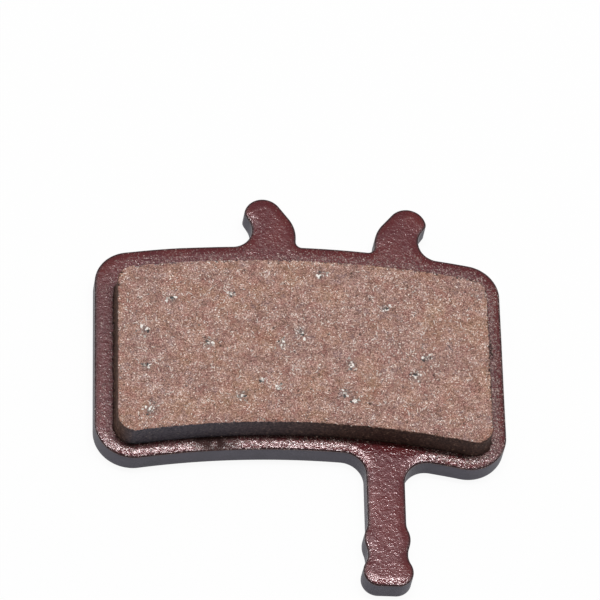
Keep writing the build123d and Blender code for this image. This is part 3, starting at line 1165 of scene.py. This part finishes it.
# %% Dress the pieces
for piece, materials, slot in (
    (stamped_plate, [baked_coat, sheared_steel], "painted_steel"),
    (friction_block, [pressed_compound], "friction_compound"),
    (chopped_fibres, [ground_fibre], "friction_compound"),
    (mineral_grains, [crushed_mineral], "friction_compound"),
    (compound_crumbs, [compound_crumb], "friction_compound"),
):
    for material in materials:
        piece.data.materials.append(material)
    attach(piece, "root")
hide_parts("backing_plate")
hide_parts("friction_lining")

# %% [markdown]
# ## Floor and light
# The pad lies on a white sweep, a hair below its back. To camera and reflections the floor is nearly all
# glow, so it stays white, with a share of plain white paint that keeps the shadow. A narrow bright softbox
# hangs almost straight overhead: the sloped edge of the plate mirrors it towards the camera. Behind it hang
# wide panels, each dimmer than the one before, which give the coat a sheen that fades. One large lamp would
# light the pad as well, but the coat would mirror it as one flat grey.

# %% Floor
floor_half, floor_level = 1.5, -0.02 * MM
glow_share = 0.93

floor_mesh = bpy.data.meshes.new("floor")
floor_mesh.from_pydata(
    [(x * floor_half, y * floor_half, floor_level) for x, y in ((-1, -1), (1, -1), (1, 1), (-1, 1))],
    [],
    [(0, 1, 2, 3)],
)
floor = bpy.data.objects.new("floor", floor_mesh)
bpy.context.scene.collection.objects.link(floor)


def white_sweep():
    """White paint, and for camera, mirror and glass rays mostly a glow of strength 1, which is white."""
    made, tree, shader = new_material("white_sweep")
    tree.nodes.remove(shader)
    rays = add(tree, "LightPath").outputs
    seen = {0: rays["Is Camera Ray"], 1: rays["Is Glossy Ray"]}
    seen_or_mirrored = add(tree, "Math", seen, operation="MAXIMUM")
    shown = add(tree, "Math", {0: seen_or_mirrored, 1: rays["Is Transmission Ray"]}, operation="MAXIMUM")
    share = add(tree, "Math", {0: shown, 1: glow_share}, operation="MULTIPLY")
    paint = add(tree, "BsdfDiffuse", {"Color": colour("#ffffff")})
    glow = add(tree, "Emission", {"Color": colour("#ffffff"), "Strength": 1.0})
    both = add(tree, "MixShader", {0: share, 1: paint, 2: glow})
    wire(tree, tree.nodes["Material Output"], {"Surface": both})
    return made


floor_mesh.materials.append(white_sweep())
print("floor of", 2 * floor_half, "m")

# %% Lamps
def softbox(name, direction, distance, size, glow):
    """A rectangular area lamp that faces the pad from a direction. Its power is glow * pi * its area, so
    that every point of it shines with that glow."""
    lamp = bpy.data.lights.new(name, "AREA")
    lamp.shape = "RECTANGLE"
    lamp.size, lamp.size_y = size
    area = size[0] * size[1]
    lamp.energy = glow * math.pi * area
    made = bpy.data.objects.new(name, lamp)
    towards = Vector(direction).normalized()
    made.location = towards * distance
    made.rotation_euler = towards.to_track_quat("Z", "Y").to_euler()
    bpy.context.scene.collection.objects.link(made)
    print(name, "lights a flat white card to", round(glow * area / distance**2 * towards.z / math.pi, 2))


softbox("key", (0.02, 0.088, 0.5), 0.5, (0.32, 0.03), 45.0)
softbox("top_panel", (0.05, 0.145, 0.5), 0.55, (0.9, 0.05), 2.2)
softbox("middle_panel", (0.06, 0.19, 0.5), 0.60, (1.1, 0.06), 1.5)
softbox("back_panel", (0.08, 0.25, 0.5), 0.60, (1.1, 0.073), 0.8)
softbox("low_panel", (0.08, 0.40, 0.5), 0.65, (1.1, 0.19), 0.2)

world_glow = 0.21
world = bpy.data.worlds.new("studio")
bpy.context.scene.world = world
world.use_nodes = True
background = world.node_tree.nodes["Background"]
wire(world.node_tree, background, {"Color": colour("#ffffff"), "Strength": world_glow})

# %% [markdown]
# ## Camera
# The photograph looks down on the pad from about 60 degrees, a little from the left, with the camera
# rolled. The angles were found by fitting the outline to the picture. A long lens keeps the sides nearly
# parallel. A Track To constraint could aim the camera, but without roll, so its axes are worked out here.

# %% Camera
view_azimuth, view_elevation, view_roll = -12.64, 60.0, -13.17
view_distance = 0.353
pixels_wide = 600
pixels_per_mm = 12.8
aim = Vector((0.225 * MM, -1.03 * MM, 0))
aim_row = 370

focal_pixels = pixels_per_mm * view_distance / MM
azimuth, elevation, roll = (math.radians(angle) for angle in (view_azimuth, view_elevation, view_roll))
across = Vector((math.cos(azimuth), math.sin(azimuth), 0))
level_back = Vector((math.sin(azimuth), -math.cos(azimuth), 0))
back = level_back * math.cos(elevation) + Vector((0, 0, math.sin(elevation)))
upward = back.cross(across)
right = math.cos(roll) * across - math.sin(roll) * upward
up = math.sin(roll) * across + math.cos(roll) * upward
# The point aimed at lies below the middle of the picture, so the camera is tipped up by that much
tip_up = math.atan((aim_row - pixels_wide / 2) / focal_pixels)
axis = math.cos(tip_up) * back - math.sin(tip_up) * up
top = math.cos(tip_up) * up + math.sin(tip_up) * back

camera_data = bpy.data.cameras.new("camera")
camera_data.sensor_width = 36.0
camera_data.lens = focal_pixels / pixels_wide * camera_data.sensor_width
camera = bpy.data.objects.new("camera", camera_data)
camera.matrix_world = Matrix((right, top, axis)).transposed().to_4x4()
camera.location = aim + back * view_distance
bpy.context.scene.collection.objects.link(camera)
bpy.context.scene.camera = camera
bpy.context.scene.view_settings.view_transform = "Standard"
print("lens", round(camera_data.lens, 1), "mm")
